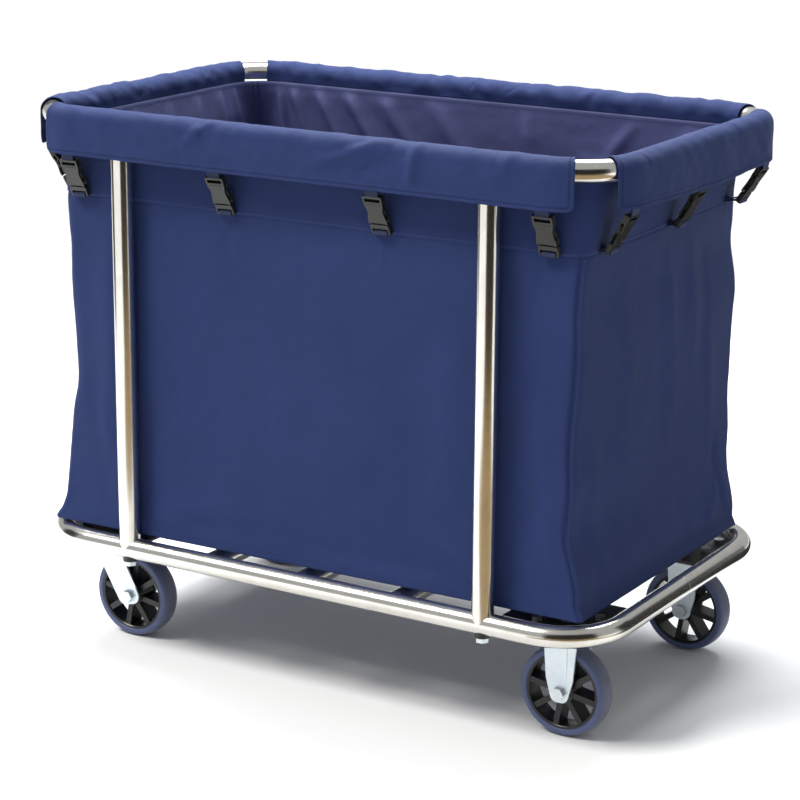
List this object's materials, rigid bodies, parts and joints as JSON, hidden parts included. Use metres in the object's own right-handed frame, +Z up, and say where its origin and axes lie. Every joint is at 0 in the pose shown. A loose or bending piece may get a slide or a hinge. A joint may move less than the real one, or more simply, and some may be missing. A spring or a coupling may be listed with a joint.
{
  "type": "linen trolley",
  "caption": "Wheeled hospital linen trolley: polished tube frame on spoked casters carrying an open rectangular fabric bag with buckled flaps over the rim.",
  "frame": {"origin": "on the floor, below the middle of the frame", "axes": "+Z up, +X along the length towards the fixed casters, +Y across the width"},
  "size_m": [0.927, 0.572, 0.7875],
  "materials": {
    "polished_steel": "polished stainless tube",
    "plain_steel": "plain turned steel",
    "black_steel": "black powder coat",
    "zinc_plate": "bright zinc plate with a blue cast",
    "zinc_fastener": "zinc plated fastener",
    "ball_steel": "bearing steel",
    "black_nylon": "moulded black nylon",
    "grey_blue_tyre": "grey blue elastic rubber",
    "navy_fabric": "navy oxford weave, coated inside",
    "buckle_plastic": "moulded dark plastic",
    "webbing": "woven webbing"
  },
  "bodies": {
    "frame": {"lower_rail_front": "polished_steel", "lower_rail_back": "polished_steel", "upper_rail_front": "polished_steel", "upper_rail_back": "polished_steel", "rail_joint_sleeves": "plain_steel", "upright_front_left": "polished_steel", "upright_front_right": "polished_steel", "upright_back_left": "polished_steel", "upright_back_right": "polished_steel", "upright_plugs": "plain_steel", "upright_bolts": "zinc_fastener", "upright_washers": "black_steel", "upright_cap_screws": "black_steel", "cross_tube_left": "polished_steel", "cross_tube_middle": "polished_steel", "cross_tube_right": "polished_steel", "corner_plate_front_left": "black_steel", "corner_plate_front_right": "black_steel", "corner_plate_back_left": "black_steel", "corner_plate_back_right": "black_steel", "caster_bolts": "zinc_fastener", "caster_nuts": "zinc_fastener", "swivel_plate_front": "zinc_plate", "swivel_plate_back": "zinc_plate", "swivel_balls_front": "ball_steel", "swivel_balls_back": "ball_steel", "king_pin_front": "zinc_fastener", "king_pin_back": "zinc_fastener", "fixed_fork_front": "zinc_plate", "fixed_fork_back": "zinc_plate", "fixed_axle_bolts": "zinc_fastener", "fixed_axle_nuts": "zinc_fastener", "axle_bush_front_right": "plain_steel", "axle_bush_back_right": "plain_steel", "bag_body": "navy_fabric", "flap_front": "navy_fabric", "flap_back": "navy_fabric", "flap_left": "navy_fabric", "flap_right": "navy_fabric", "buckle_sockets": "buckle_plastic", "buckle_plugs": "buckle_plastic", "webbing_straps": "webbing"},
    "swivel_front": {"swivel_fork_front": "zinc_plate", "swivel_axle_bolt_front": "zinc_fastener", "swivel_axle_nut_front": "zinc_fastener", "axle_bush_front_left": "plain_steel"},
    "swivel_back": {"swivel_fork_back": "zinc_plate", "swivel_axle_bolt_back": "zinc_fastener", "swivel_axle_nut_back": "zinc_fastener", "axle_bush_back_left": "plain_steel"},
    "wheel_front_left": {"wheel_hub_front_left": "black_nylon", "tyre_front_left": "grey_blue_tyre"},
    "wheel_back_left": {"wheel_hub_back_left": "black_nylon", "tyre_back_left": "grey_blue_tyre"},
    "wheel_front_right": {"wheel_hub_front_right": "black_nylon", "tyre_front_right": "grey_blue_tyre"},
    "wheel_back_right": {"wheel_hub_back_right": "black_nylon", "tyre_back_right": "grey_blue_tyre"}
  },
  "joints": [
    {"name": "swivel_front_turn", "type": "hinge", "parent": "frame", "child": "swivel_front", "pos_m": [-0.372, -0.188, 0.143], "axis": [0, 0, 1], "continuous": true},
    {"name": "swivel_back_turn", "type": "hinge", "parent": "frame", "child": "swivel_back", "pos_m": [-0.372, 0.188, 0.143], "axis": [0, 0, 1], "continuous": true},
    {"name": "wheel_front_left_roll", "type": "hinge", "parent": "swivel_front", "child": "wheel_front_left", "pos_m": [-0.336, -0.188, 0.0635], "axis": [0, 1, 0], "continuous": true},
    {"name": "wheel_front_right_roll", "type": "hinge", "parent": "frame", "child": "wheel_front_right", "pos_m": [0.372, -0.188, 0.0635], "axis": [0, 1, 0], "continuous": true},
    {"name": "wheel_back_left_roll", "type": "hinge", "parent": "swivel_back", "child": "wheel_back_left", "pos_m": [-0.336, 0.188, 0.0635], "axis": [0, 1, 0], "continuous": true},
    {"name": "wheel_back_right_roll", "type": "hinge", "parent": "frame", "child": "wheel_back_right", "pos_m": [0.372, 0.188, 0.0635], "axis": [0, 1, 0], "continuous": true}
  ]
}
